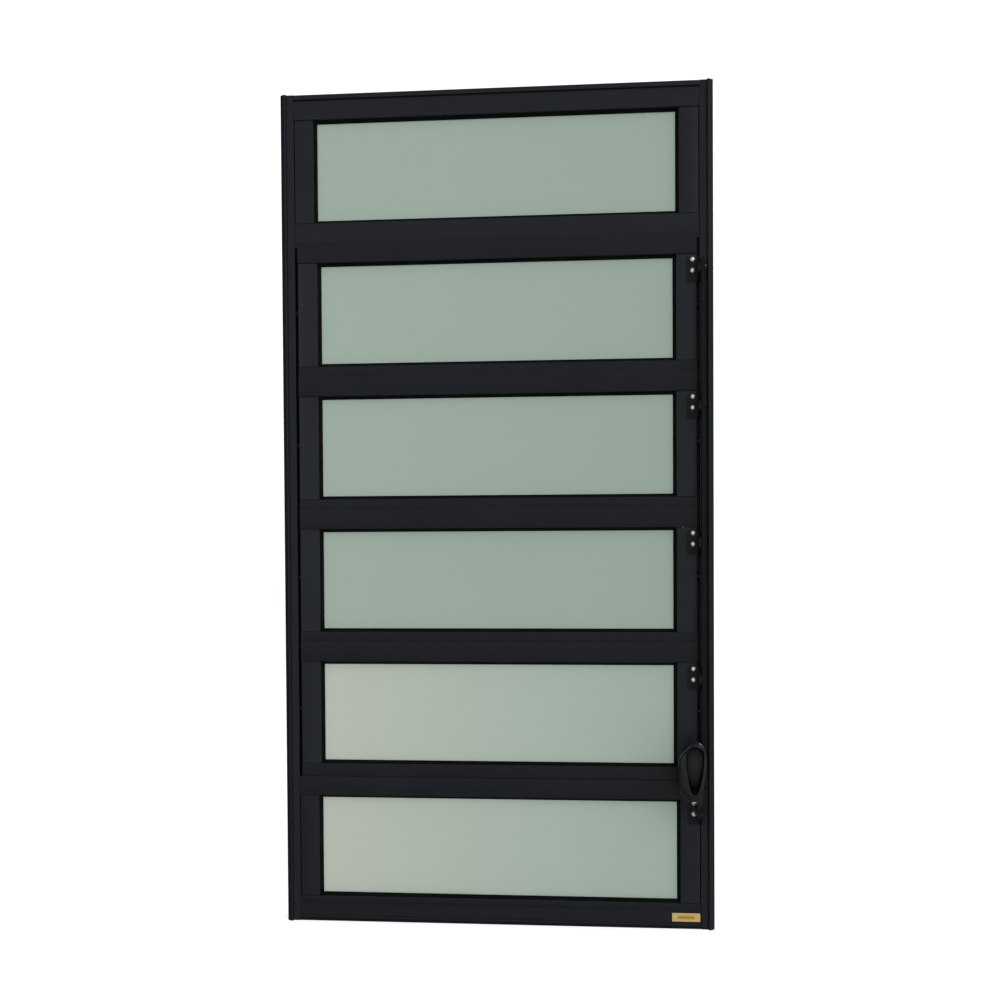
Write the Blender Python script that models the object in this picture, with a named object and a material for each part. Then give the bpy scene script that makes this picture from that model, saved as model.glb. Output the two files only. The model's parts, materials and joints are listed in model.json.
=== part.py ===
"""Centre-pivot window in black aluminium: four tilting sashes between two fixed lights.

A lever at the lower right moves a connecting bar, and the bar turns the four sashes together.
Metres, +Z up. The room side faces -Y. The origin is the middle of the frame's underside.
Every cross-section below is in millimetres, as (across, depth), where depth 0 is the wall
face that the flange bears on, and a negative depth is on the room side.
"""

import math

import bmesh
import bpy
from mathutils import Matrix, Vector

MM = 0.001

# The frame that sits in the wall opening, and the flange that laps the wall around it.
BOX_WIDTH = 0.500
BOX_HEIGHT = 1.000
BOX_DEPTH = 0.044
FLANGE_LAP = 0.015
HALF_WIDTH = BOX_WIDTH / 2 + FLANGE_LAP
OUTER_BOTTOM = -FLANGE_LAP
OUTER_TOP = BOX_HEIGHT + FLANGE_LAP
WALL_FACE_Y = -BOX_DEPTH / 2

# Visible glass: heights, and how far its edges stand in from the frame's outer edge.
RAIL_FACE = 0.0355
LIGHT_GLASS_HEIGHT = 0.1195
SASH_GLASS_HEIGHT = 0.1203
SASH_PITCH = 0.1651
SASH_COUNT = 4
UPPER_TRANSOM_SPAN = 0.0570
LIGHT_GLASS_EDGE = 0.0450
SASH_GLASS_EDGE = 0.0485

# Glazing, measured outward from the visible edge of the glass.
LEG_TIP = 3.9
CHANNEL_FLOOR = 12.0
GLASS_TUCK = 6.5
GLASS_FRONT = 4.0
GLASS_BACK = 8.0

# Sash rails, measured outward from the visible edge of the glass.
SASH_TOP_TUBE = 21.0
SASH_TOP_LAP = 29.4
SASH_BOTTOM = 21.5
UPPER_TRANSOM_BOTTOM = 33.7
LOWER_TRANSOM_TUBE = 24.2
LOWER_TRANSOM_LAP = 27.3

FACE = -3.0
PROUD_FACE = -4.6
PROUD_START = 24.0
SASH_BACK = 15.0
SKIN = 1.6
SASH_SIDE = 20.0
RIB_FRONT = 11.2
TONGUE_FRONT = 3.0
TONGUE_BACK = 9.0
JOINT_GAP = 0.0003
TAB_REACH = 0.25

# Linkage: every crank runs from its pivot to a pin that is CRANK_OUT nearer the room and
# CRANK_UP higher, so that the sashes, the bar and the lever form exact parallelograms.
PIVOT_DEPTH = 6.0
CRANK_OUT = 20.0
CRANK_UP = 41.0
EAR_PIN_DEPTH = PIVOT_DEPTH - CRANK_OUT
LEVER_PIN_DEPTH = EAR_PIN_DEPTH - CRANK_OUT
PIN_RADIUS = 3.0
PIN_HOLE_RADIUS = 3.4
EAR_INNER = 18.8
EAR_OUTER = 16.2
BAR_INNER = 15.6
BAR_OUTER = 11.6
EAR_HEIGHT = 29.0
FOOT_INNER = 32.0
FOOT_TOP = 15.0
RIVET_ACROSS = 25.0
RIVET_PITCH = 13.3
RIVET_RISE = 5.0
LEVER_DROP = 11.5

# The label, from the frame's right edge and from its foot.
LABEL_LEFT, LABEL_RIGHT = 51.5, 17.5
LABEL_LOW, LABEL_HIGH = 9.3, 19.7

ROUND_STEPS = 16
ARC_STEPS = 3


def glass_spans():
    """The bottom and top of each pane's visible glass, from the upper light down."""
    top = OUTER_TOP - RAIL_FACE
    spans = [(top - LIGHT_GLASS_HEIGHT, top)]
    top -= LIGHT_GLASS_HEIGHT + UPPER_TRANSOM_SPAN
    for _ in range(SASH_COUNT):
        spans.append((top - SASH_GLASS_HEIGHT, top))
        top -= SASH_PITCH
    bottom = OUTER_BOTTOM + RAIL_FACE
    spans.append((bottom, bottom + LIGHT_GLASS_HEIGHT))
    return spans


GLASS = glass_spans()
UPPER_LIGHT = GLASS[0]
SASHES = GLASS[1:-1]
LOWER_LIGHT = GLASS[-1]


def sash_pivot_z(span):
    """The pivot is at half the height of the whole sash, rails included."""
    return (span[0] + span[1]) / 2 + (SASH_TOP_LAP - SASH_BOTTOM) * MM / 2


LEVER_PIVOT_Z = LOWER_LIGHT[1] - LEVER_DROP * MM

# --- Scene, materials and placing ---------------------------------------------------------


def clear_scene():
    for item in list(bpy.data.objects):
        bpy.data.objects.remove(item)


def make_material(name, colour, roughness, metallic=0.0, transmission=0.0):
    material = bpy.data.materials.new(name)
    material.use_nodes = True
    shader = material.node_tree.nodes["Principled BSDF"]
    shader.inputs["Base Color"].default_value = (*colour, 1)
    shader.inputs["Roughness"].default_value = roughness
    shader.inputs["Metallic"].default_value = metallic
    shader.inputs["Transmission Weight"].default_value = transmission
    return material


def make_materials():
    black = (0.017, 0.021, 0.024)
    return {
        "frame": make_material("frame_black_aluminium", black, 0.42, 0.3),
        "sash": make_material("sash_black_aluminium", (0.02, 0.024, 0.027), 0.42, 0.3),
        "glass": make_material("green_tinted_glass", (0.36, 0.45, 0.38), 0.12, 0.0, 0.5),
        "gasket": make_material("black_rubber_gasket", (0.004, 0.005, 0.005), 0.7),
        "bracket": make_material("bracket_black_steel", (0.02, 0.022, 0.024), 0.4, 0.6),
        "bar": make_material("bar_black_aluminium", (0.012, 0.014, 0.016), 0.45, 0.5),
        "lever": make_material("lever_black_cast", (0.022, 0.025, 0.028), 0.35, 0.4),
        "rivet": make_material("rivet_bright_aluminium", (0.75, 0.76, 0.77), 0.25, 1.0),
        "pivot": make_material("pivot_pin_black_steel", (0.03, 0.03, 0.032), 0.45, 1.0),
        "label": make_material("label_gold_foil", (0.7, 0.42, 0.1), 0.35, 0.6),
    }


def make_pivot(name, across_x, depth, z):
    """An empty on a hinge axis, which carries the pieces that turn about it."""
    pivot = bpy.data.objects.new(name, None)
    pivot.location = (across_x, WALL_FACE_Y + depth * MM, z)
    bpy.context.scene.collection.objects.link(pivot)
    return pivot


def finish_object(name, mesh, material, pivot=None, smooth=False):
    """Links the mesh, drawn in world coordinates, and hangs it on its pivot if it has one."""
    mesh.materials.append(material)
    if smooth:
        mesh.shade_smooth()
        mesh.set_sharp_from_angle(angle=math.radians(35))
    item = bpy.data.objects.new(name, mesh)
    bpy.context.scene.collection.objects.link(item)
    if pivot:
        item.parent = pivot
        item.location = -pivot.location
    return item


def apply_boolean(item, tool_mesh, operation):
    """Adds an exact Boolean whose tool follows the same pivot as the item."""
    tool = bpy.data.objects.new(item.name + "_tool", tool_mesh)
    bpy.context.scene.collection.objects.link(tool)
    tool.parent = item.parent
    tool.location = item.location
    tool.hide_render = True
    tool.display_type = "WIRE"
    modifier = item.modifiers.new(operation.lower(), "BOOLEAN")
    modifier.operation = operation
    modifier.object = tool


# --- Meshes -------------------------------------------------------------------------------


def mesh_from(bm, name):
    bmesh.ops.recalc_face_normals(bm, faces=bm.faces)
    mesh = bpy.data.meshes.new(name)
    bm.to_mesh(mesh)
    bm.free()
    return mesh


def rounded(points):
    """An outline in which each corner that names a radius, as a third number, is an arc."""
    outline = []
    for index, corner in enumerate(points):
        here = Vector(corner[:2])
        if len(corner) == 2:
            outline.append(here)
            continue
        before = (Vector(points[index - 1][:2]) - here).normalized()
        after = (Vector(points[(index + 1) % len(points)][:2]) - here).normalized()
        half_angle = before.angle(after) / 2
        reach = corner[2] / math.tan(half_angle)
        centre = here + (before + after).normalized() * corner[2] / math.sin(half_angle)
        start = here + before * reach - centre
        turn = start.angle_signed(here + after * reach - centre)
        for step in range(ARC_STEPS + 1):
            outline.append(centre + Matrix.Rotation(-turn * step / ARC_STEPS, 2) @ start)
    return outline


def prism(name, outline, holes, place, low, high):
    """Extrudes a flat outline with holes from low to high; place(a, b, s) gives each point."""
    bm = bmesh.new()
    edges = []
    for loop in [rounded(outline)] + [rounded(hole) for hole in holes]:
        ring = [bm.verts.new(place(point.x, point.y, low)) for point in loop]
        edges += [bm.edges.new((ring[i - 1], ring[i])) for i in range(len(ring))]
    filled = bmesh.ops.triangle_fill(bm, edges=edges, use_beauty=True)["geom"]
    faces = [piece for piece in filled if isinstance(piece, bmesh.types.BMFace)]
    raised = bmesh.ops.extrude_face_region(bm, geom=faces, use_keep_orig=True)["geom"]
    rise = Vector(place(0, 0, high)) - Vector(place(0, 0, low))
    moved = [piece for piece in raised if isinstance(piece, bmesh.types.BMVert)]
    bmesh.ops.translate(bm, verts=moved, vec=rise)
    return mesh_from(bm, name)


def loft(name, rings, closed=False):
    """Joins equal rings of points in order, with flat ends unless the path closes on itself."""
    bm = bmesh.new()
    loops = [[bm.verts.new(point) for point in ring] for ring in rings]
    pairs = list(zip(loops, loops[1:])) + ([(loops[-1], loops[0])] if closed else [])
    for here, there in pairs:
        for i in range(len(here)):
            bm.faces.new((here[i - 1], here[i], there[i], there[i - 1]))
    if not closed:
        bm.faces.new(loops[0])
        bm.faces.new(loops[-1])
    return mesh_from(bm, name)


def join_meshes(name, meshes):
    """One mesh that holds several closed tools, for a Boolean that uses them all at once."""
    bm = bmesh.new()
    for mesh in meshes:
        bm.from_mesh(mesh)
    return mesh_from(bm, name)


def upright(side):
    """Places a section of an upright: across runs in from the outer edge on that side."""
    return lambda across, depth, z: (
        side * (HALF_WIDTH - across * MM), WALL_FACE_Y + depth * MM, z)


def level(base_z, direction):
    """Places a section of a horizontal member: across runs up or down from base_z."""
    return lambda across, depth, x: (
        x, WALL_FACE_Y + depth * MM, base_z + direction * across * MM)


def side_on(base_z):
    """Places an outline drawn as (depth, height) in a plane across the window's width."""
    return lambda depth, height, x: (x, WALL_FACE_Y + depth * MM, base_z + height * MM)


def face_on(base_z):
    """Places an outline drawn as (across from the right edge, height), extruded in depth."""
    return lambda across, height, depth: (
        HALF_WIDTH - across * MM, WALL_FACE_Y + depth * MM, base_z + height * MM)


def right_x(across):
    return HALF_WIDTH - across * MM


def turned_along_x(name, profile, side, depth, z):
    """A turned piece on an axis along X; profile holds (across, radius) pairs."""
    rings = []
    for across, radius in profile:
        ring = []
        for step in range(ROUND_STEPS):
            angle = 2 * math.pi * step / ROUND_STEPS
            ring.append((
                side * (HALF_WIDTH - across * MM),
                WALL_FACE_Y + (depth + radius * math.cos(angle)) * MM,
                z + radius * math.sin(angle) * MM))
        rings.append(ring)
    return loft(name, rings)


def turned_along_y(name, profile, across, z, steps=ROUND_STEPS):
    """A turned piece on an axis along Y near the right edge; profile holds (depth, radius)."""
    rings = []
    for depth, radius in profile:
        ring = []
        for step in range(steps):
            angle = 2 * math.pi * step / steps
            ring.append((
                right_x(across + radius * math.cos(angle)),
                WALL_FACE_Y + depth * MM,
                z + radius * math.sin(angle) * MM))
        rings.append(ring)
    return loft(name, rings)


# --- Cross-sections -----------------------------------------------------------------------

LIP_CREST = -6.5
BOX_SIDE = FLANGE_LAP / MM
BOX_BACK = BOX_DEPTH / MM
BOX_INNER = BOX_SIDE + SKIN
FLANGE_FRONT = [
    (0, 0), (0, -2.4, 0.8), (4.9, LIP_CREST, 1.4), (6.8, LIP_CREST, 0.7), (8.0, FACE, 0.4)]
FLANGE_UNDERSIDE = [
    (BOX_SIDE, BOX_BACK), (BOX_SIDE, FACE + SKIN), (6.9, FACE + SKIN),
    (5.6, LIP_CREST + SKIN), (SKIN, -SKIN), (SKIN, 0)]
REAR_LIP_REACH = 19.3
REAR_LIP_FRONT = BOX_BACK - 1.5
REAR_LIP = [
    (BOX_INNER, REAR_LIP_FRONT), (REAR_LIP_REACH, REAR_LIP_FRONT), (REAR_LIP_REACH, BOX_BACK)]


def jamb_section():
    return FLANGE_FRONT + [(BOX_INNER, FACE, 0.5)] + REAR_LIP + FLANGE_UNDERSIDE


def glazing_legs(start, front):
    """The two legs that hold the gasket, from the front face's corner round to the back."""
    tip = start - LEG_TIP
    floor = start - CHANNEL_FLOOR
    inner_back = SASH_BACK - SKIN
    return [
        (tip, front, 0.6), (tip, FACE + SKIN), (floor, FACE + SKIN), (floor, inner_back),
        (tip, inner_back), (tip, SASH_BACK, 0.6)]


def outer_rail_section():
    """Head or sill, from the frame's outer edge towards the glass."""
    edge = RAIL_FACE / MM
    front = FLANGE_FRONT + [(PROUD_START, FACE), (PROUD_START, PROUD_FACE, 0.5)]
    return (front + glazing_legs(edge, PROUD_FACE) + [(BOX_INNER, SASH_BACK)]
            + REAR_LIP + FLANGE_UNDERSIDE)


def outer_rail_hole():
    edge = RAIL_FACE / MM - CHANNEL_FLOOR - SKIN
    return tube_hole(BOX_INNER, edge)


def tube_hole(low, high):
    front = FACE + SKIN
    back = SASH_BACK - SKIN
    return [(low, front), (high, front), (high, back), (low, back)]


def mirrored(points):
    """The same outline with its across direction reversed, still in the same order."""
    return [(-point[0], *point[1:]) for point in points]


def plain_rail_section(far):
    """A rail with a flat face, measured outward from the glass edge to far."""
    legs = mirrored(glazing_legs(0.0, FACE))
    return [(far, FACE, 0.6)] + legs + [(far, SASH_BACK, 0.6)]


def lapped_rail_section(tube, lap):
    """A rail whose proud face runs on past its tube as a lap over the member beyond it."""
    legs = mirrored(glazing_legs(0.0, PROUD_FACE))
    return [
        (lap, PROUD_FACE, 0.5), *legs, (tube, SASH_BACK, 0.6), (tube, FACE - 0.3),
        (lap, FACE - 0.3)]


def rail_hole(far):
    return tube_hole(CHANNEL_FLOOR + SKIN, far - SKIN)


def stile_section(outer, glass_edge):
    """An upright from its outer side to the glazing legs, measured from the frame's edge."""
    return [(outer, FACE, 0.6)] + glazing_legs(glass_edge, FACE) + [(outer, SASH_BACK, 0.6)]


def stile_hole(outer, glass_edge):
    return tube_hole(outer + SKIN, glass_edge - CHANNEL_FLOOR - SKIN)


def gasket_section():
    """A rubber channel round the glass edge, as (outward from the visible glass, depth)."""
    gap = 0.3
    front_slot = GLASS_FRONT - gap
    back_slot = GLASS_BACK + gap
    return [
        (11.6, -1.1), (LEG_TIP - 0.4, -1.1), (0.0, front_slot - 0.4), (0.0, front_slot),
        (7.0, front_slot), (7.0, back_slot), (0.0, back_slot), (0.0, back_slot + 0.4),
        (LEG_TIP - 0.4, 13.1), (11.6, 13.1)]


# --- Frame --------------------------------------------------------------------------------


def pivot_hole_tools(side, across_low, across_high):
    """Round tools for the pin holes of all four sashes on one side."""
    return [
        turned_along_x(
            "pivot_hole", [(across_low, PIN_HOLE_RADIUS), (across_high, PIN_HOLE_RADIUS)],
            side, PIVOT_DEPTH, sash_pivot_z(span))
        for span in SASHES]


def sash_zone():
    """The opening between the two transoms, where the jambs carry their draught rib."""
    clearance = 0.5
    low = LOWER_LIGHT[1] + (LOWER_TRANSOM_TUBE + clearance) * MM
    high = UPPER_LIGHT[0] - (UPPER_TRANSOM_BOTTOM + clearance) * MM
    return low, high


def box_outline(near, front, far, back):
    return [(near, front), (far, front), (far, back), (near, back)]


def make_jamb(name, side, material):
    """An upright with a draught rib, cut at its ends to pass the head and the sill.

    A tab at each end narrows the butt joint from behind, and stops short of the head or sill.
    """
    place = upright(side)
    mesh = prism(name, jamb_section(), [], place, OUTER_BOTTOM, OUTER_TOP)
    jamb = finish_object(name, mesh, material)
    overrun = 10.0
    far, back = 30.0, BOX_BACK + overrun
    rib = box_outline(BOX_INNER - 0.6, RIB_FRONT, REAR_LIP_REACH, RIB_FRONT + 1.4)
    tab = box_outline(BOX_SIDE + 0.4, FACE + SKIN + 0.3, BOX_INNER + TAB_REACH, -0.1)
    short, long = 0.4 * MM, (BOX_SIDE - 2.2) * MM
    additions = [
        prism("rib", rib, [], place, *sash_zone()),
        prism("tab", tab, [], place, -long, -short),
        prism("tab", tab, [], place, BOX_HEIGHT + short, BOX_HEIGHT + long)]
    apply_boolean(jamb, join_meshes("additions", additions), "UNION")
    lip = box_outline(BOX_INNER + 0.2, REAR_LIP_FRONT - 1.5, far, back)
    lip_end = (REAR_LIP_REACH - BOX_SIDE + 0.3) * MM
    lip_notches = [
        prism("notch", lip, [], place, -MM, lip_end),
        prism("notch", lip, [], place, BOX_HEIGHT - lip_end, BOX_HEIGHT + MM)]
    apply_boolean(jamb, join_meshes("lip_cuts", lip_notches), "DIFFERENCE")
    corner = box_outline(10.0, 0.0, far, back)
    notches = [
        prism("notch", corner, [], place, OUTER_BOTTOM - overrun * MM, 0.0),
        prism("notch", corner, [], place, BOX_HEIGHT, OUTER_TOP + overrun * MM)]
    tools = notches + pivot_hole_tools(side, BOX_SIDE - 1, BOX_INNER + 1.4)
    apply_boolean(jamb, join_meshes("jamb_cuts", tools), "DIFFERENCE")


def make_outer_rail(name, base_z, direction, material):
    reach = HALF_WIDTH - BOX_INNER * MM - JOINT_GAP
    mesh = prism(
        name, outer_rail_section(), [outer_rail_hole()], level(base_z, direction),
        -reach, reach)
    finish_object(name, mesh, material)


def make_transom(name, glass_z, direction, section, far, material):
    reach = HALF_WIDTH - (BOX_INNER + 0.4) * MM
    mesh = prism(name, section, [rail_hole(far)], level(glass_z, direction), -reach, reach)
    finish_object(name, mesh, material)


def make_stile(name, side, span, outer, glass_edge, material, pivot=None):
    """An upright between two rails, with a tongue at each end that keys into the rail."""
    low = span[0] - LEG_TIP * MM + JOINT_GAP
    high = span[1] + LEG_TIP * MM - JOINT_GAP
    place = upright(side)
    mesh = prism(
        name, stile_section(outer, glass_edge), [stile_hole(outer, glass_edge)],
        place, low, high)
    stile = finish_object(name, mesh, material, pivot)
    tongue = box_outline(
        outer + SKIN / 2, TONGUE_FRONT, glass_edge - CHANNEL_FLOOR - SKIN / 2, TONGUE_BACK)
    reach, root = 2 * MM, 3 * MM
    tongues = [
        prism("tongue", tongue, [], place, low - reach, low + root),
        prism("tongue", tongue, [], place, high - root, high + reach)]
    apply_boolean(stile, join_meshes("tongues", tongues), "UNION")
    return stile


def make_glass(name, span, edge, material, pivot=None):
    reach = HALF_WIDTH - edge + GLASS_TUCK * MM
    low = span[0] - GLASS_TUCK * MM
    high = span[1] + GLASS_TUCK * MM
    pane = [(-reach / MM, low / MM), (reach / MM, low / MM),
            (reach / MM, high / MM), (-reach / MM, high / MM)]
    mesh = prism(
        name, pane, [],
        lambda x, z, depth: (x * MM, WALL_FACE_Y + depth * MM, z * MM),
        GLASS_FRONT, GLASS_BACK)
    finish_object(name, mesh, material, pivot)


def make_gasket(name, span, edge, material, pivot=None):
    rings = []
    for right, up in ((1, 1), (1, -1), (-1, -1), (-1, 1)):
        ring = []
        for outward, depth in gasket_section():
            x = right * (HALF_WIDTH - edge + outward * MM)
            glass_z = span[1] if up > 0 else span[0]
            ring.append((x, WALL_FACE_Y + depth * MM, glass_z + up * outward * MM))
        rings.append(ring)
    finish_object(name, loft(name, rings, closed=True), material, pivot)


def make_light(name, span, materials):
    """A fixed light's glass, gasket and two stiles; its rails are frame members."""
    edge = LIGHT_GLASS_EDGE
    stiles = [
        make_stile(f"{name}_stile_{word}", side, span, BOX_INNER + 0.8, edge / MM,
                   materials["frame"])
        for side, word in ((-1, "left"), (1, "right"))]
    make_glass(f"{name}_glass", span, edge, materials["glass"])
    make_gasket(f"{name}_gasket", span, edge, materials["gasket"])
    return stiles


# --- Hardware -----------------------------------------------------------------------------


def rivet_heights(pin_z):
    return [pin_z + (RIVET_RISE + sign * RIVET_PITCH / 2) * MM for sign in (-1, 1)]


def rivet_hole_tools(pin_z):
    return [
        turned_along_y("rivet_hole", [(-8.0, 2.3), (0.0, 2.3)], RIVET_ACROSS, z, 16)
        for z in rivet_heights(pin_z)]


def rivet_profile():
    """A domed head on the room side, then the shank, from the tip of the dome inwards."""
    radius, rise, seat = 3.3, 1.9, FACE - SKIN - 0.6
    dome = [
        (seat - rise * math.cos(angle), radius * math.sin(angle))
        for angle in (math.radians(22.5 * step) for step in range(1, 5))]
    return dome + [(seat, 2.0), (FACE + SKIN + 1.5, 2.0)]


def make_fixing(name, pin_z, material, pivot=None):
    """Two rivets and the backing strip that joins them behind the stile's face."""
    front = FACE + SKIN + 0.3
    low, high = RIVET_RISE - 10.0, RIVET_RISE + 10.0
    outer, inner = RIVET_ACROSS - 3.0, RIVET_ACROSS + 3.5
    strip = [(outer, low, 1.5), (inner, low, 1.5), (inner, high, 1.5), (outer, high, 1.5)]
    mesh = prism(name, strip, [], face_on(pin_z), front, front + 1.5)
    item = finish_object(name, mesh, material, pivot, smooth=True)
    rivets = [
        turned_along_y("rivet", rivet_profile(), RIVET_ACROSS, z)
        for z in rivet_heights(pin_z)]
    apply_boolean(item, join_meshes("rivets", rivets), "UNION")


def bracket_plate(pin_z):
    """The flat foot of a bracket, on the stile's face."""
    low, high = -EAR_HEIGHT / 2, FOOT_TOP
    foot = [(EAR_OUTER, low), (FOOT_INNER, low, 2.5), (FOOT_INNER, high, 2.5), (EAR_OUTER, high)]
    back = FACE - 0.3
    return prism("foot", foot, [], face_on(pin_z), back - SKIN, back)


def ear_outline():
    """The bracket's ear, as (depth, height from the pin)."""
    half = EAR_HEIGHT / 2
    nose = EAR_PIN_DEPTH - 6.0
    return [
        (FACE - 0.3, -half), (FACE - 0.3, half), (-6.5, half, 1.5), (nose, 5.0, 4.0),
        (nose, -5.0, 4.0), (-7.0, -half, 1.5)]


def make_bracket(name, pin_z, with_stud, material, pivot=None):
    """A foot riveted to the stile and an ear turned out into the room."""
    ear = prism(name, ear_outline(), [], side_on(pin_z), right_x(EAR_INNER), right_x(EAR_OUTER))
    bracket = finish_object(name, ear, material, pivot)
    apply_boolean(bracket, bracket_plate(pin_z), "UNION")
    cuts = rivet_hole_tools(pin_z)
    if with_stud:
        profile = [
            (EAR_OUTER + 1.5, PIN_RADIUS), (BAR_OUTER - 0.4, PIN_RADIUS),
            (BAR_OUTER - 0.4, 4.5), (BAR_OUTER - 1.3, 4.5), (BAR_OUTER - 1.7, 3.8)]
        stud = turned_along_x("stud", profile, 1, EAR_PIN_DEPTH, pin_z)
        apply_boolean(bracket, stud, "UNION")
    else:
        bore = [(EAR_OUTER - 2, PIN_HOLE_RADIUS), (EAR_INNER + 2, PIN_HOLE_RADIUS)]
        cuts.append(turned_along_x("bore", bore, 1, EAR_PIN_DEPTH, pin_z))
    apply_boolean(bracket, join_meshes("bracket_cuts", cuts), "DIFFERENCE")


def make_pivot_pin(name, side, z, material):
    """A flanged pin from the jamb into the sash's stile."""
    profile = [
        (15.2, PIN_RADIUS), (16.9, PIN_RADIUS), (16.9, 4.6), (18.0, 4.6), (18.0, PIN_RADIUS),
        (25.5, PIN_RADIUS), (26.0, PIN_RADIUS - 0.5)]
    mesh = turned_along_x(name, profile, side, PIVOT_DEPTH, z)
    finish_object(name, mesh, material, smooth=True)


def make_connecting_bar(name, pin_heights, lever_pin_z, material, pivot):
    """A flat bar on the four sash studs, with a nose at its foot for the lever's pin."""
    first = pin_heights[0]
    rear, front = EAR_PIN_DEPTH + 5.5, EAR_PIN_DEPTH - 5.5
    nose = LEVER_PIN_DEPTH - 5.5
    top = 12.0
    foot = (lever_pin_z - first) / MM
    outline = [
        (rear, top, 5.0), (front, top, 5.0), (front, foot + 16.0, 6.0),
        (front - 7.0, foot + 5.5, 4.0), (nose, foot + 5.5, 5.0), (nose, foot - 5.5, 5.0),
        (rear, foot - 5.5, 4.0)]
    mesh = prism(name, outline, [], side_on(first), right_x(BAR_INNER), right_x(BAR_OUTER))
    bar = finish_object(name, mesh, material, pivot)
    bore = [(BAR_OUTER - 1, PIN_HOLE_RADIUS), (BAR_INNER + 1, PIN_HOLE_RADIUS)]
    holes = [turned_along_x("hole", bore, 1, EAR_PIN_DEPTH, z) for z in pin_heights]
    holes.append(turned_along_x("hole", bore, 1, LEVER_PIN_DEPTH, lever_pin_z))
    apply_boolean(bar, join_meshes("bar_holes", holes), "DIFFERENCE")


# --- Lever --------------------------------------------------------------------------------

WEB_INNER = 21.9
WEB_OUTER = 19.1
HUB_RADIUS = 5.8

# The grip, as (height above the pivot, left edge, right edge, depth of the back face).
GRIP_PROFILE = [
    (2.0, 24.2, 21.6, -19.2), (8.0, 26.6, 19.0, -23.0), (15.0, 30.2, 17.2, -28.5),
    (22.0, 35.6, 16.5, -33.5), (30.0, 42.4, 16.2, -37.5), (40.0, 45.4, 14.9, -41.2),
    (52.0, 45.8, 13.2, -43.2), (66.0, 45.8, 12.4, -43.6), (76.0, 43.4, 12.7, -42.5),
    (86.0, 34.0, 15.2, -40.9), (92.0, 31.0, 16.2, -39.5)]
GRIP_THICKNESS = 8.4
GRIP_EDGE = 1.0
GRIP_ROUNDING = 0.55
GRIP_STATIONS = 30
GRIP_ACROSS = 22
CAP_RADIUS = 8.0

# The thumb hollow in the grip's face, as (height above the pivot, left edge, right edge).
HOLLOW_PROFILE = [
    (29.5, 29.3, 23.0), (37.0, 31.8, 20.9), (53.0, 35.2, 17.4), (70.0, 37.0, 15.6),
    (79.0, 36.4, 15.4), (87.5, 33.0, 17.0)]
HOLLOW_DEPTH = 6.2
HOLLOW_SQUARENESS = 0.6
HOLLOW_END_BELOW = 5.0
HOLLOW_END_ABOVE = 8.0
HOLLOW_STATIONS = 26
HOLLOW_STEPS = 28
FORK_DEPTHS = (-52.0, -17.0)


def smooth_between(rows, value):
    """The row at this value of the first column, on a smooth curve through all the rows."""
    index = max(i for i, row in enumerate(rows[:-1]) if i == 0 or value >= row[0])
    low, high = rows[index], rows[index + 1]
    before = rows[max(index - 1, 0)]
    after = rows[min(index + 2, len(rows) - 1)]
    span = high[0] - low[0]
    t = (value - low[0]) / span
    found = []
    for column in range(1, len(low)):
        start = (high[column] - before[column]) / (high[0] - before[0]) * span
        end = (after[column] - low[column]) / (after[0] - low[0]) * span
        found.append(
            (2 * t**3 - 3 * t**2 + 1) * low[column] + (t**3 - 2 * t**2 + t) * start
            + (3 * t**2 - 2 * t**3) * high[column] + (t**3 - t**2) * end)
    return found


def grip_at(height):
    """The grip's left and right edges, its back face and its thickness at this height."""
    left, right, back = smooth_between(GRIP_PROFILE, height)
    thickness = GRIP_THICKNESS * min(0.5 + height / 40, 1.0)
    over = (height - GRIP_PROFILE[-1][0] + CAP_RADIUS) / CAP_RADIUS
    cap = math.sqrt(1 - max(over, 0.0) ** 2 * 0.96)
    middle = (left + right) / 2
    return (
        middle + (left - middle) * cap, middle + (right - middle) * cap, back,
        thickness * cap ** 0.5)


def grip_ring(height, pivot_z):
    """One level section of the grip: a crowned front and a flat back."""
    left, right, back, thickness = grip_at(height)
    ring = []
    for step in range(GRIP_ACROSS + 1):
        turn = math.pi * step / GRIP_ACROSS
        across = (left + right) / 2 + (left - right) / 2 * math.cos(turn)
        crown = (thickness - GRIP_EDGE) * math.sin(turn) ** GRIP_ROUNDING
        ring.append((across, back - GRIP_EDGE - crown))
    for share in (0.04, 0.96):
        ring.append((right + (left - right) * share, back))
    return [
        (right_x(across), WALL_FACE_Y + depth * MM, pivot_z + height * MM)
        for across, depth in ring]


def make_grip(pivot_z):
    low, high = GRIP_PROFILE[0][0], GRIP_PROFILE[-1][0]
    heights = [
        low + (high - low) * math.sin(math.pi * step / GRIP_STATIONS / 2)
        for step in range(GRIP_STATIONS + 1)]
    return loft("grip", [grip_ring(height, pivot_z) for height in heights])


def make_hollow(pivot_z):
    """The cutter for the thumb hollow: squared ovals that stand out of the grip's face."""
    low, high = HOLLOW_PROFILE[0][0], HOLLOW_PROFILE[-1][0]
    rings = []
    for station in range(1, HOLLOW_STATIONS):
        height = low + (high - low) * (1 - math.cos(math.pi * station / HOLLOW_STATIONS)) / 2
        from_end = min(
            (height - low) / HOLLOW_END_BELOW, (high - height) / HOLLOW_END_ABOVE, 1.0)
        swell = math.sqrt(1 - (1 - from_end) ** 2)
        left, right = smooth_between(HOLLOW_PROFILE, height)
        back, thickness = grip_at(height)[2:]
        ring = []
        for step in range(HOLLOW_STEPS):
            angle = 2 * math.pi * step / HOLLOW_STEPS
            across, deep = (
                math.copysign(abs(wave) ** HOLLOW_SQUARENESS, wave)
                for wave in (math.cos(angle), math.sin(angle)))
            ring.append((
                right_x((left + right) / 2 + (left - right) / 2 * swell * across),
                WALL_FACE_Y + MM * (back - thickness + HOLLOW_DEPTH * swell * deep),
                pivot_z + height * MM))
        rings.append(ring)
    return loft("hollow", rings)


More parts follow.
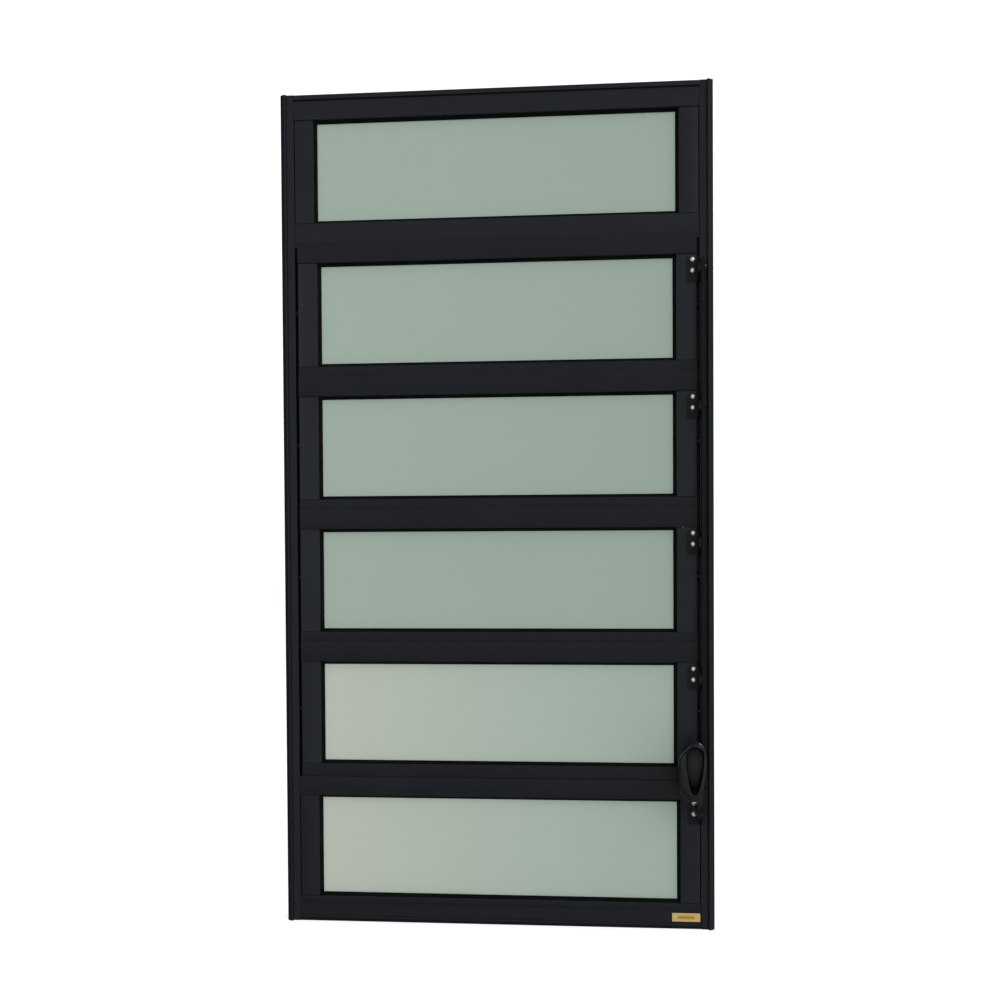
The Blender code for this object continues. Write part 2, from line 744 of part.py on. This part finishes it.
def make_fork(pivot_z):
    """The cutter that opens the grip's foot beside the web, over the base's upper rivet."""
    outline = [
        (22.4, 7.4, 0.3), (23.9, 6.7, 0.5), (25.7, 11.1, 1.0), (27.9, 15.1, 1.0),
        (30.8, 20.4, 1.8), (22.4, 20.4, 0.8)]
    return prism("fork", outline, [], face_on(pivot_z), *FORK_DEPTHS)


def web_outline():
    """The lever's web from its hub, past the crank pin, to the back of the grip."""
    hub, pin = EAR_PIN_DEPTH, LEVER_PIN_DEPTH
    front = [
        (smooth_between(GRIP_PROFILE, height)[-1] - 1.2, height)
        for height in (60.0, 52.0, 44.0, 37.0, 30.0, 24.0, 18.0, 12.0, 8.0, 5.0)]
    return [
        (hub + HUB_RADIUS, -HUB_RADIUS, 5.5), (hub + HUB_RADIUS, 5.8, 4.0),
        (pin + 5.5, CRANK_UP - 2, 4.0), (pin + 5.5, CRANK_UP + 5.5, 4.0), *front,
        (hub - HUB_RADIUS - 1.5, 1.0), (hub - HUB_RADIUS, -HUB_RADIUS, 5.5)]


def make_lever(name, pivot_z, material, pivot):
    web = prism(name, web_outline(), [], side_on(pivot_z), right_x(WEB_INNER), right_x(WEB_OUTER))
    lever = finish_object(name, web, material, pivot, smooth=True)
    apply_boolean(lever, make_grip(pivot_z), "UNION")
    apply_boolean(lever, make_hollow(pivot_z), "DIFFERENCE")
    apply_boolean(lever, make_fork(pivot_z), "DIFFERENCE")
    crank = [
        (WEB_OUTER + 1.5, PIN_RADIUS), (BAR_OUTER - 0.4, PIN_RADIUS), (BAR_OUTER - 0.9, 2.5)]
    crank_pin = turned_along_x("crank_pin", crank, 1, LEVER_PIN_DEPTH, pivot_z + CRANK_UP * MM)
    apply_boolean(lever, crank_pin, "UNION")
    bore = [(WEB_OUTER - 2, PIN_HOLE_RADIUS), (WEB_INNER + 2, PIN_HOLE_RADIUS)]
    apply_boolean(
        lever, turned_along_x("bore", bore, 1, EAR_PIN_DEPTH, pivot_z), "DIFFERENCE")


def make_lever_pin(name, z, material):
    """The pin through the base's ear and the lever's hub, with a head at each end."""
    profile = [
        (EAR_OUTER - 1.6, 3.9), (EAR_OUTER - 1.2, 4.6), (EAR_OUTER - 0.4, 4.6),
        (EAR_OUTER - 0.4, PIN_RADIUS), (WEB_INNER + 0.3, PIN_RADIUS), (WEB_INNER + 0.3, 4.4),
        (WEB_INNER + 0.7, 4.4), (WEB_INNER + 1.0, 3.8)]
    mesh = turned_along_x(name, profile, 1, EAR_PIN_DEPTH, z)
    finish_object(name, mesh, material, smooth=True)


def make_label(name, material):
    """A plain foil label on the sill's flange, near its right end."""
    label = [
        (LABEL_RIGHT, LABEL_LOW, 0.8), (LABEL_LEFT, LABEL_LOW, 0.8),
        (LABEL_LEFT, LABEL_HIGH, 0.8), (LABEL_RIGHT, LABEL_HIGH, 0.8)]
    mesh = prism(name, label, [], face_on(OUTER_BOTTOM), FACE - 0.8, FACE - 0.3)
    finish_object(name, mesh, material)


# --- Assembly -----------------------------------------------------------------------------


def make_frame(materials):
    frame = materials["frame"]
    make_jamb("frame_jamb_left", -1, frame)
    make_jamb("frame_jamb_right", 1, frame)
    make_outer_rail("frame_head", OUTER_TOP, -1, frame)
    make_outer_rail("frame_sill", OUTER_BOTTOM, 1, frame)
    make_transom(
        "transom_upper", UPPER_LIGHT[0], -1, plain_rail_section(UPPER_TRANSOM_BOTTOM),
        UPPER_TRANSOM_BOTTOM, frame)
    make_transom(
        "transom_lower", LOWER_LIGHT[1], 1,
        lapped_rail_section(LOWER_TRANSOM_TUBE, LOWER_TRANSOM_LAP), LOWER_TRANSOM_TUBE, frame)
    make_light("upper_light", UPPER_LIGHT, materials)
    lower_stiles = make_light("lower_light", LOWER_LIGHT, materials)
    cuts = join_meshes("rivet_cuts", rivet_hole_tools(LEVER_PIVOT_Z))
    apply_boolean(lower_stiles[-1], cuts, "DIFFERENCE")
    make_label("label_plate", materials["label"])


def make_sash(name, span, materials):
    """One tilting sash with its glass and bracket, and the two pins that it turns on."""
    pivot_z = sash_pivot_z(span)
    pin_z = pivot_z + CRANK_UP * MM
    pivot = make_pivot(f"{name}_axis", 0, PIVOT_DEPTH, pivot_z)
    reach = HALF_WIDTH - SASH_SIDE * MM
    rails = (
        ("top_rail", span[1], 1, lapped_rail_section(SASH_TOP_TUBE, SASH_TOP_LAP),
         SASH_TOP_TUBE),
        ("bottom_rail", span[0], -1, plain_rail_section(SASH_BOTTOM), SASH_BOTTOM))
    for word, glass_z, direction, section, far in rails:
        mesh = prism(
            f"{name}_{word}", section, [rail_hole(far)], level(glass_z, direction),
            -reach, reach)
        finish_object(f"{name}_{word}", mesh, materials["sash"], pivot)
    for side, word in ((-1, "left"), (1, "right")):
        stile = make_stile(
            f"{name}_stile_{word}", side, span, SASH_SIDE, SASH_GLASS_EDGE / MM,
            materials["sash"], pivot)
        hole = [(SASH_SIDE - 1, PIN_HOLE_RADIUS), (SASH_SIDE + 3, PIN_HOLE_RADIUS)]
        tools = [turned_along_x("pin_hole", hole, side, PIVOT_DEPTH, pivot_z)]
        if side > 0:
            tools += rivet_hole_tools(pin_z)
        apply_boolean(stile, join_meshes("stile_cuts", tools), "DIFFERENCE")
        make_pivot_pin(f"{name}_pivot_pin_{word}", side, pivot_z, materials["pivot"])
    make_glass(f"{name}_glass", span, SASH_GLASS_EDGE, materials["glass"], pivot)
    make_gasket(f"{name}_gasket", span, SASH_GLASS_EDGE, materials["gasket"], pivot)
    make_bracket(f"{name}_bracket", pin_z, True, materials["bracket"], pivot)
    make_fixing(f"{name}_bracket_rivets", pin_z, materials["rivet"], pivot)
    return pin_z


def make_linkage(pin_heights, materials):
    lever_pin_z = LEVER_PIVOT_Z + CRANK_UP * MM
    bar_axis = make_pivot("connecting_bar_axis", right_x(BAR_INNER), EAR_PIN_DEPTH, pin_heights[0])
    make_connecting_bar("connecting_bar", pin_heights, lever_pin_z, materials["bar"], bar_axis)
    make_bracket("lever_base", LEVER_PIVOT_Z, False, materials["bracket"])
    make_fixing("lever_base_rivets", LEVER_PIVOT_Z, materials["rivet"])
    lever_axis = make_pivot("lever_axis", right_x(WEB_OUTER), EAR_PIN_DEPTH, LEVER_PIVOT_Z)
    make_lever("lever_handle", LEVER_PIVOT_Z, materials["lever"], lever_axis)
    make_lever_pin("lever_pivot_pin", LEVER_PIVOT_Z, materials["pivot"])


def main():
    clear_scene()
    materials = make_materials()
    make_frame(materials)
    pin_heights = [
        make_sash(f"sash_{number}", span, materials)
        for number, span in enumerate(SASHES, start=1)]
    make_linkage(pin_heights, materials)
    bpy.context.view_layer.update()


main()
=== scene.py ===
import json
import math

import bmesh
import bpy
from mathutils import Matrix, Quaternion, Vector


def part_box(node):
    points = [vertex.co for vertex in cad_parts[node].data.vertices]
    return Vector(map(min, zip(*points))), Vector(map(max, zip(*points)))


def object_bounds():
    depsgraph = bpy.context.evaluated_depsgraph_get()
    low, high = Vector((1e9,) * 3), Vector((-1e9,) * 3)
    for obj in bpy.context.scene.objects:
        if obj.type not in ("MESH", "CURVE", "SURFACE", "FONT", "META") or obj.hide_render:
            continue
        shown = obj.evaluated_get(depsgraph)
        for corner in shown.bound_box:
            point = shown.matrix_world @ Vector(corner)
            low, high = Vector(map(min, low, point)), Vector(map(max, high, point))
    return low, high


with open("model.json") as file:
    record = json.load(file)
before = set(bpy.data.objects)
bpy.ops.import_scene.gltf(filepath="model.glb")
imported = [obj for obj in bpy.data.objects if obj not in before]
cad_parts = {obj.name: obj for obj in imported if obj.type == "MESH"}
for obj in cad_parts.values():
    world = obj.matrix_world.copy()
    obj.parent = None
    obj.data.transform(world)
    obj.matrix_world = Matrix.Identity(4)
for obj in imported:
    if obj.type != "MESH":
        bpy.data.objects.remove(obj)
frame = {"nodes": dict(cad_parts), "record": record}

# Looks for the black aluminium pivot window: materials, soft studio, floor and camera.
# Metres, +Z up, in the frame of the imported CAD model. The room side faces -Y.

MM = 0.001
SMOOTH_ANGLE = math.radians(32)
WELD_DISTANCE = 2e-6
# Level members, whose coat is a little darker than the uprights'.
RAIL_ENDINGS = ("_rail", "_sill", "transom_lower")
# Reach of the openness test behind the painted shade in the lever's hollow.
RECESS_REACH = 22 * MM

# Camera at the photograph's viewing angle.
CAMERA_TARGET = Vector((-0.047, -0.0306, 0.4447))
CAMERA_DISTANCE = 1.70
CAMERA_AZIMUTH = math.radians(5.86)
CAMERA_ELEVATION = math.radians(1.41)
CAMERA_ROLL = math.radians(-0.38)
CAMERA_LENS = 49.7
CAMERA_SHIFT = (0.0425, 0.0544)

# Studio: a round white cove with the window standing at its middle.
COVE_FLAT_RADIUS = 3.4
COVE_BEND_RADIUS = 1.6
COVE_HEIGHT = 5.0
COVE_INNER_RADIUS = 0.02
COVE_SIDES = 96
COVE_BEND_STEPS = 16
COVE_GLOW = 0.80

# The light all round: bright in front and a little to the right and above, dark elsewhere.
BRIGHT_SIDE = Vector((0.50, -0.84, 0.20)).normalized()
WORLD_DARK = 0.12
WORLD_BRIGHT = 1.08
WORLD_FULL_AT = 0.9

# Soft lamps, as (name, place, width, height, watts). Those behind the window stand outside
# every line of sight from the camera through the glass.
LAMPS = [
    ("key", (-1.9, -2.5, 1.1), 1.4, 1.4, 9),
    ("fill", (2.0, -2.6, 2.2), 1.4, 1.8, 15),
    ("back", (2.0, 2.5, 2.2), 1.4, 1.4, 60),
    ("back_fill", (-2.6, 2.2, 1.2), 1.4, 1.8, 14),
]

cad_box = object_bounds()


# --- Node helpers -------------------------------------------------------------------------


class Shader:
    """A Principled material under construction, with short calls for the nodes it uses."""

    def __init__(self, name):
        self.material = bpy.data.materials.new(name)
        self.material.use_nodes = True
        self.tree = self.material.node_tree
        self.surface = self.tree.nodes["Principled BSDF"]
        self.coords = self.tree.nodes.new("ShaderNodeTexCoord").outputs["Object"]

    def put(self, socket, value):
        """Sets an input of the Principled shader to a number, a colour or a node's output."""
        target = self.surface.inputs[socket]
        if isinstance(value, bpy.types.NodeSocket):
            self.tree.links.new(value, target)
        else:
            target.default_value = value

    def noise(self, scale, detail=3.0, roughness=0.5):
        node = self.tree.nodes.new("ShaderNodeTexNoise")
        node.inputs["Scale"].default_value = scale
        node.inputs["Detail"].default_value = detail
        node.inputs["Roughness"].default_value = roughness
        self.tree.links.new(self.coords, node.inputs["Vector"])
        return node.outputs["Fac"]

    def cells(self, scale, feature="F1"):
        node = self.tree.nodes.new("ShaderNodeTexVoronoi")
        node.feature = feature
        node.inputs["Scale"].default_value = scale
        self.tree.links.new(self.coords, node.inputs["Vector"])
        return node.outputs["Distance"]

    def spread(self, value, low, high, start=0.35, end=0.65):
        """Maps the part of a value between start and end onto low to high."""
        node = self.tree.nodes.new("ShaderNodeMapRange")
        node.inputs["From Min"].default_value = start
        node.inputs["From Max"].default_value = end
        node.inputs["To Min"].default_value = low
        node.inputs["To Max"].default_value = high
        self.tree.links.new(value, node.inputs["Value"])
        return node.outputs["Result"]

    def mix(self, factor, low, high):
        """A colour between low and high, each a colour or a node's output."""
        node = self.tree.nodes.new("ShaderNodeMix")
        node.data_type = "RGBA"
        self.tree.links.new(factor, node.inputs[0])
        for socket, value in ((node.inputs[6], low), (node.inputs[7], high)):
            if isinstance(value, bpy.types.NodeSocket):
                self.tree.links.new(value, socket)
            else:
                socket.default_value = (*value, 1)
        return node.outputs[2]

    def maths(self, operation, first, second):
        node = self.tree.nodes.new("ShaderNodeMath")
        node.operation = operation
        for socket, value in zip(node.inputs, (first, second)):
            if isinstance(value, bpy.types.NodeSocket):
                self.tree.links.new(value, socket)
            else:
                socket.default_value = value
        return node.outputs["Value"]

    def facing_up(self):
        """How far the surface looks upwards, from -1 to 1."""
        geometry = self.tree.nodes.new("ShaderNodeNewGeometry")
        split = self.tree.nodes.new("ShaderNodeSeparateXYZ")
        self.tree.links.new(geometry.outputs["Normal"], split.inputs[0])
        return split.outputs["Z"]

    def openness(self, reach):
        """How open the surface is to its surroundings: lower inside recesses."""
        node = self.tree.nodes.new("ShaderNodeAmbientOcclusion")
        node.samples = 8
        node.inputs["Distance"].default_value = reach
        return node.outputs["AO"]

    def bump(self, height, distance, strength=1.0, below=None):
        node = self.tree.nodes.new("ShaderNodeBump")
        node.inputs["Distance"].default_value = distance
        node.inputs["Strength"].default_value = strength
        self.tree.links.new(height, node.inputs["Height"])
        if below:
            self.tree.links.new(below, node.inputs["Normal"])
        return node.outputs["Normal"]


def shade(colour, factor):
    return tuple(channel * factor for channel in colour)


# --- Materials ----------------------------------------------------------------------------


def powder_coat(name, colour, roughness, specular, peel=0.35):
    """Polyester powder coat: orange peel, a fine fleck, handling marks and a little dust."""
    shader = Shader(name)
    cloud = shader.noise(7.0, 5.0, 0.6)
    tone = shader.mix(shader.spread(cloud, 0, 1), shade(colour, 0.86), shade(colour, 1.16))
    fleck = shader.spread(shader.cells(1900), 1.0, 0.0, 0.0, 0.30)
    tone = shader.mix(shader.maths("MULTIPLY", fleck, 0.35), tone, shade(colour, 1.9))
    dust = shader.spread(shader.facing_up(), 0.0, 0.12, 0.25, 1.0)
    dust = shader.maths("MULTIPLY", dust, shader.spread(shader.noise(160, 4.0), 0.6, 1.0))
    shader.put("Base Color", shader.mix(dust, tone, (0.12, 0.12, 0.115)))
    marks = shader.noise(34.0, 6.0, 0.65)
    shader.put("Roughness", shader.spread(marks, roughness - 0.05, roughness + 0.06))
    shader.put("Specular IOR Level", specular)
    peel_height = shader.noise(620.0, 2.0)
    grain = shader.noise(3200.0, 1.0)
    coarse = shader.bump(peel_height, 0.00006, peel)
    shader.put("Normal", shader.bump(grain, 0.00002, 0.3, coarse))
    return shader.material


def tinted_glass():
    """Green glass with an etched back: a satin body colour under a smooth, gently wavy face.

    All panes are painted a little lighter towards the left, and the two lowest panes carry a
    painted glow, much paler towards their left side.
    """
    shader = Shader("sage_green_glass")
    split = shader.tree.nodes.new("ShaderNodeSeparateXYZ")
    shader.tree.links.new(shader.coords, split.inputs[0])
    cloud = shader.noise(3.0, 3.0, 0.5)
    # Painted light: the glass is painted lighter towards the left of the window, mixed with a
    # random cloud of tone.
    painted_light_leftward = shader.spread(split.outputs["X"], 1.0, 0.0, -0.22, 0.22)
    painted_light_and_cloud = shader.maths("ADD", painted_light_leftward, shader.spread(cloud, -0.12, 0.12))
    body = shader.mix(painted_light_and_cloud, (0.360, 0.463, 0.399), (0.410, 0.515, 0.438))
    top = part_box("sash_4_glass")[1].z
    lower = shader.spread(split.outputs["Z"], 1.0, 0.0, top - 0.5 * MM, top)
    # Painted glow: the two lowest panes are painted much paler towards the left, standing in for
    # light seen in them there.
    painted_glow = shader.mix(
        shader.spread(painted_light_leftward, 0.0, 1.0, 0.1, 1.0), (0.410, 0.524, 0.452), (0.590, 0.642, 0.553))
    shader.put("Base Color", shader.mix(lower, body, painted_glow))
    shader.put("Roughness", shader.spread(shader.noise(45.0, 5.0, 0.6), 0.16, 0.24))
    shader.put("Transmission Weight", 0.25)
    shader.put("IOR", 1.45)
    shader.put("Coat Weight", 0.6)
    shader.put("Coat Roughness", 0.04)
    shader.put("Specular IOR Level", 0.35)
    wave = shader.noise(5.5, 1.0)
    etch = shader.noise(2600.0, 2.0)
    shader.put("Normal", shader.bump(etch, 0.00002, 0.15, shader.bump(wave, 0.002, 0.12)))
    return shader.material


def rubber():
    shader = Shader("black_rubber")
    cloud = shader.noise(40.0, 4.0)
    shader.put("Base Color", shader.mix(
        shader.spread(cloud, 0, 1), (0.0022, 0.0025, 0.0026), (0.0046, 0.0050, 0.0050)))
    shader.put("Roughness", shader.spread(shader.noise(120.0, 4.0), 0.55, 0.72))
    shader.put("Specular IOR Level", 0.05)
    shader.put("Normal", shader.bump(shader.noise(1500.0, 3.0), 0.00005, 0.35))
    return shader.material


def painted_metal(name, colour, roughness, specular, recess=0.0):
    """Dark paint on steel or cast metal, with fine pits and rubbed lighter patches.

    Surfaces less open than recess, inside hollows, get painted shade: a dead black, fully
    metallic coat that stands in for the shadow there.
    """
    shader = Shader(name)
    cloud = shader.noise(55.0, 5.0, 0.6)
    tone = shader.mix(shader.spread(cloud, 0, 1), shade(colour, 0.8), shade(colour, 1.25))
    rubbed = shader.spread(shader.noise(140.0, 6.0, 0.7), 0.0, 0.35, 0.62, 0.80)
    tone = shader.mix(rubbed, tone, shade(colour, 2.4))
    if recess:
        # Painted shade: where the surface is less open than recess, the tone drops to 0.35 of the
        # colour and Metallic rises to 1, so the hollow reflects almost nothing.
        outside_painted_shade = shader.spread(shader.openness(RECESS_REACH), 0.0, 1.0, recess - 0.15, recess)
        tone = shader.mix(outside_painted_shade, shade(colour, 0.35), tone)
        shader.put("Metallic", shader.maths("SUBTRACT", 1.0, outside_painted_shade))
    shader.put("Base Color", tone)
    shader.put("Roughness", shader.spread(cloud, roughness - 0.06, roughness + 0.08))
    shader.put("Specular IOR Level", specular)
    pits = shader.noise(1300.0, 3.0, 0.6)
    shader.put("Normal", shader.bump(pits, 0.00006, 0.3))
    return shader.material


def bright_metal(name, colour, roughness):
    """Bare metal with turning marks too fine to see singly and a few duller spots."""
    shader = Shader(name)
    cloud = shader.noise(300.0, 4.0, 0.6)
    shader.put("Base Color", shader.mix(shader.spread(cloud, 0, 1), shade(colour, 0.88), colour))
    shader.put("Metallic", 1.0)
    shader.put("Roughness", shader.spread(shader.noise(900.0, 4.0), roughness - 0.06,
                                          roughness + 0.08))
    shader.put("Normal", shader.bump(shader.noise(2400.0, 2.0), 0.00002, 0.3))
    return shader.material


def gold_foil():
    """Printed foil: a plain ochre panel inside a pale gold border."""
    shader = Shader("gold_foil_label")
    low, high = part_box("label_plate")
    split = shader.tree.nodes.new("ShaderNodeSeparateXYZ")
    shader.tree.links.new(shader.coords, split.inputs[0])
    inside = []
    for axis, margin in (("X", 6.5 * MM), ("Z", 3.2 * MM)):
        index = "XYZ".index(axis)
        middle = (low[index] + high[index]) / 2
        half = (high[index] - low[index]) / 2 - margin
        offset = shader.maths("ABSOLUTE", shader.maths(
            "SUBTRACT", split.outputs[axis], middle), 0.0)
        inside.append(shader.spread(offset, 1.0, 0.0, half - 0.8 * MM, half + 0.8 * MM))
    panel = shader.maths("MULTIPLY", *inside)
    crinkle = shader.noise(500.0, 4.0, 0.6)
    border = shader.mix(shader.spread(crinkle, 0, 1), (0.51, 0.37, 0.12), (0.60, 0.45, 0.17))
    ochre = shader.mix(shader.spread(crinkle, 0, 1), (0.35, 0.19, 0.03), (0.44, 0.25, 0.05))
    shader.put("Base Color", shader.mix(panel, border, ochre))
    shader.put("Metallic", 0.55)
    shader.put("Roughness", shader.spread(crinkle, 0.3, 0.42))
    shader.put("Normal", shader.bump(crinkle, 0.0001, 0.25))
    return shader.material


def make_materials():
    black = (0.0062, 0.0085, 0.0118)
    return {
        "frame_aluminium": powder_coat("powder_coat_frame", black, 0.40, 0.16),
        "sash_aluminium": powder_coat("powder_coat_sash", shade(black, 1.2), 0.38, 0.18),
        "rail_aluminium": powder_coat("powder_coat_rails", shade(black, 0.85), 0.40, 0.14),
        "pane_glass": tinted_glass(),
        "gasket_rubber": rubber(),
        "bracket_metal": painted_metal("painted_steel", (0.0040, 0.0050, 0.0062), 0.42, 0.12),
        "bar_metal": painted_metal("painted_bar", (0.0032, 0.0042, 0.0054), 0.45, 0.10),
        # The lever's hollow gets painted shade below openness 0.92.
        "lever_metal": painted_metal("painted_casting", (0.0088, 0.0108, 0.0128), 0.38, 0.20,
                                     recess=0.92),
        "rivet_metal": bright_metal("rivet_aluminium", (0.62, 0.64, 0.66), 0.42),
        "pin_steel": bright_metal("blackened_steel", (0.030, 0.032, 0.034), 0.40),
        "label_foil": gold_foil(),
    }


# --- CAD nodes ----------------------------------------------------------------------------


def smoothing_group():
    """Geometry nodes that weld split vertices and smooth every edge below SMOOTH_ANGLE."""
    group = bpy.data.node_groups.new("weld_and_smooth", "GeometryNodeTree")
    group.interface.new_socket("Geometry", in_out="INPUT", socket_type="NodeSocketGeometry")
    group.interface.new_socket("Geometry", in_out="OUTPUT", socket_type="NodeSocketGeometry")
    nodes, links = group.nodes, group.links
    entry = nodes.new("NodeGroupInput")
    weld = nodes.new("GeometryNodeMergeByDistance")
    weld.inputs["Distance"].default_value = WELD_DISTANCE
    faces = nodes.new("GeometryNodeSetShadeSmooth")
    edges = nodes.new("GeometryNodeSetShadeSmooth")
    edges.domain = "EDGE"
    angle = nodes.new("GeometryNodeInputMeshEdgeAngle")
    compare = nodes.new("FunctionNodeCompare")
    compare.operation = "LESS_THAN"
    compare.inputs["B"].default_value = SMOOTH_ANGLE
    leave = nodes.new("NodeGroupOutput")
    links.new(entry.outputs[0], weld.inputs["Geometry"])
    links.new(weld.outputs[0], faces.inputs["Geometry"])
    links.new(faces.outputs[0], edges.inputs["Geometry"])
    links.new(angle.outputs["Unsigned Angle"], compare.inputs["A"])
    links.new(compare.outputs["Result"], edges.inputs["Shade Smooth"])
    links.new(edges.outputs[0], leave.inputs[0])
    return group


def finish_cad_nodes(materials):
    """Gives every CAD node the finish of its material slot, and smooth rounded edges."""
    slots = {row["node"]: row["material_slot"] for row in frame["record"]["subparts"]}
    group = smoothing_group()
    for name, node in frame["nodes"].items():
        slot = "rail_aluminium" if name.endswith(RAIL_ENDINGS) else slots[name]
        node.material_slots[0].material = materials[slot]
        custom = node.data.attributes.get("custom_normal")
        if custom:
            node.data.attributes.remove(custom)
        node.modifiers.new("weld_and_smooth", "NODES").node_group = group


# --- Studio -------------------------------------------------------------------------------


def make_cove():
    """One turned surface: flat floor, a quarter-round bend and an upright wall.

    It is a backdrop only: light from all round passes it and gloss does not mirror it.
    """
    floor_z = cad_box[0].z
    profile = [(COVE_INNER_RADIUS, 0.0), (COVE_FLAT_RADIUS, 0.0)]
    for step in range(1, COVE_BEND_STEPS + 1):
        angle = math.pi / 2 * step / COVE_BEND_STEPS
        profile.append((COVE_FLAT_RADIUS + COVE_BEND_RADIUS * math.sin(angle),
                        COVE_BEND_RADIUS * (1 - math.cos(angle))))
    profile.append((COVE_FLAT_RADIUS + COVE_BEND_RADIUS, COVE_HEIGHT))
    bm = bmesh.new()
    rings = []
    for radius, height in profile:
        ring = []
        for side in range(COVE_SIDES):
            turn = 2 * math.pi * side / COVE_SIDES
            ring.append(bm.verts.new((
                radius * math.cos(turn), radius * math.sin(turn), floor_z + height)))
        rings.append(ring)
    for low, high in zip(rings, rings[1:]):
        for side in range(COVE_SIDES):
            bm.faces.new((low[side - 1], low[side], high[side], high[side - 1]))
    bm.faces.new(rings[0])
    mesh = bpy.data.meshes.new("studio_floor")
    bm.to_mesh(mesh)
    bm.free()
    mesh.shade_smooth()
    cove = bpy.data.objects.new("studio_floor", mesh)
    bpy.context.scene.collection.objects.link(cove)
    paper = Shader("white_cove")
    cloud = paper.noise(1.5, 3.0)
    paper.put("Base Color", paper.mix(cloud, (0.44, 0.44, 0.44), (0.46, 0.46, 0.46)))
    paper.put("Roughness", 0.9)
    paper.put("Specular IOR Level", 0.1)
    paper.put("Emission Color", (1, 1, 1, 1))
    paper.put("Emission Strength", COVE_GLOW)
    mesh.materials.append(paper.material)
    cove.visible_diffuse = False
    cove.visible_glossy = False
    cove.visible_shadow = False


def make_area_light(name, place, target, width, height, power):
    data = bpy.data.lights.new(name, "AREA")
    data.shape = "RECTANGLE"
    data.size, data.size_y = width, height
    data.energy = power
    light = bpy.data.objects.new(name, data)
    bpy.context.scene.collection.objects.link(light)
    light.location = place
    toward = Vector(target) - Vector(place)
    light.rotation_mode = "QUATERNION"
    light.rotation_quaternion = toward.to_track_quat("-Z", "Y")


def make_world():
    """A smooth soft light from all round, strongest towards BRIGHT_SIDE."""
    world = bpy.data.worlds.new("studio_world")
    world.use_nodes = True
    tree = world.node_tree
    coords = tree.nodes.new("ShaderNodeTexCoord")
    toward = tree.nodes.new("ShaderNodeVectorMath")
    toward.operation = "DOT_PRODUCT"
    toward.inputs[1].default_value = BRIGHT_SIDE
    tree.links.new(coords.outputs["Generated"], toward.inputs[0])
    ramp = tree.nodes.new("ShaderNodeMapRange")
    ramp.inputs["From Max"].default_value = WORLD_FULL_AT
    ramp.inputs["To Min"].default_value = WORLD_DARK
    ramp.inputs["To Max"].default_value = WORLD_BRIGHT
    tree.links.new(toward.outputs["Value"], ramp.inputs["Value"])
    tree.links.new(ramp.outputs["Result"], tree.nodes["Background"].inputs["Strength"])
    tree.nodes["Background"].inputs["Color"].default_value = (1, 1, 1, 1)
    bpy.context.scene.world = world


def make_lights():
    middle = (cad_box[0] + cad_box[1]) / 2
    for name, place, width, height, power in LAMPS:
        make_area_light(name, place, middle, width, height, power)


def make_camera():
    data = bpy.data.cameras.new("camera")
    data.lens = CAMERA_LENS
    data.shift_x, data.shift_y = CAMERA_SHIFT
    camera = bpy.data.objects.new("camera", data)
    bpy.context.scene.collection.objects.link(camera)
    back = Vector((
        math.sin(CAMERA_AZIMUTH) * math.cos(CAMERA_ELEVATION),
        -math.cos(CAMERA_AZIMUTH) * math.cos(CAMERA_ELEVATION),
        math.sin(CAMERA_ELEVATION)))
    camera.location = CAMERA_TARGET + back * CAMERA_DISTANCE
    camera.rotation_mode = "QUATERNION"
    camera.rotation_quaternion = (
        back.to_track_quat("Z", "Y") @ Quaternion((0, 0, 1), CAMERA_ROLL))
    bpy.context.scene.camera = camera


finish_cad_nodes(make_materials())
make_cove()
make_world()
make_lights()
make_camera()
bpy.context.scene.view_settings.view_transform = "Standard"
